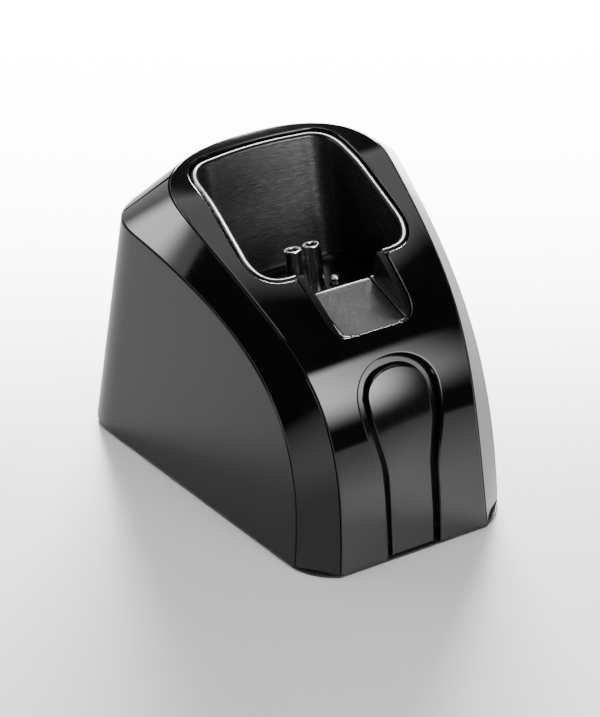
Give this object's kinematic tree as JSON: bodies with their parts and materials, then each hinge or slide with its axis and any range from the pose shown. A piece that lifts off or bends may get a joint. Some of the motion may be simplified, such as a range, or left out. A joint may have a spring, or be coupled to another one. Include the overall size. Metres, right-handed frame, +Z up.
{
  "type": "hair clipper charging stand",
  "caption": "Wedge-shaped desktop charging stand for a hair clipper: gloss raked front, tilted well with sprung contacts, thumb notch and weighted base.",
  "frame": {"origin": "on the resting plane, under the middle of the overall outline", "axes": "+X across the stand, +Y to the rear (the low front faces -Y), +Z up"},
  "size_m": [0.0914, 0.106, 0.0762],
  "materials": {
    "satin_black": "fine satin moulded plastic",
    "gloss_black": "high gloss moulded plastic",
    "tongue_gloss": "gloss moulded plastic",
    "liner_black": "semi-gloss moulded plastic",
    "tray_grey": "semi-gloss moulded plastic",
    "base_black": "moulded plastic, fine texture",
    "foot_rubber": "matt rubber",
    "nickel": "bright nickel plate",
    "spring_steel": "drawn wire",
    "screw_steel": "zinc plated",
    "ballast_steel": "rolled steel plate",
    "board_green": "solder mask",
    "insulator": "moulded plastic",
    "lead_red": "insulated wire",
    "lead_black": "insulated wire"
  },
  "bodies": {
    "stand": {"main_housing": "satin_black", "bezel_band": "gloss_black", "fascia": "gloss_black", "front_tongue": "tongue_gloss", "cradle_well": "liner_black", "notch_tray": "tray_grey", "base_plate": "base_black", "contact_carrier": "insulator", "spring_left": "spring_steel", "spring_right": "spring_steel", "spring_sense": "spring_steel", "circuit_board": "board_green", "board_screw_left": "screw_steel", "board_screw_right": "screw_steel", "inlet_housing": "insulator", "inlet_pin": "nickel", "inlet_leaf": "nickel", "inner_lead_positive": "lead_red", "inner_lead_negative": "lead_black", "ballast_plate": "ballast_steel", "foot_1": "foot_rubber", "foot_2": "foot_rubber", "foot_3": "foot_rubber", "foot_4": "foot_rubber", "base_screw_1": "screw_steel", "base_screw_2": "screw_steel", "base_screw_3": "screw_steel", "base_screw_4": "screw_steel"},
    "contact_left": {"contact_left": "nickel"},
    "contact_right": {"contact_right": "nickel"},
    "sense_plunger": {"sense_plunger": "nickel"}
  },
  "joints": [
    {"name": "contact_left_travel", "type": "slide", "parent": "stand", "child": "contact_left", "axis": [0, -0.2419, -0.9703], "range_m": [0, 0.0015], "stiffness_N_per_m": 300, "springref_m": -0.001, "deforming": ["spring_left"]},
    {"name": "contact_right_travel", "type": "slide", "parent": "stand", "child": "contact_right", "axis": [0, -0.2419, -0.9703], "range_m": [0, 0.0015], "stiffness_N_per_m": 300, "springref_m": -0.001, "deforming": ["spring_right"]},
    {"name": "sense_plunger_travel", "type": "slide", "parent": "stand", "child": "sense_plunger", "axis": [0, -0.2419, -0.9703], "range_m": [0, 0.0012], "stiffness_N_per_m": 250, "springref_m": -0.001, "deforming": ["spring_sense"]}
  ]
}
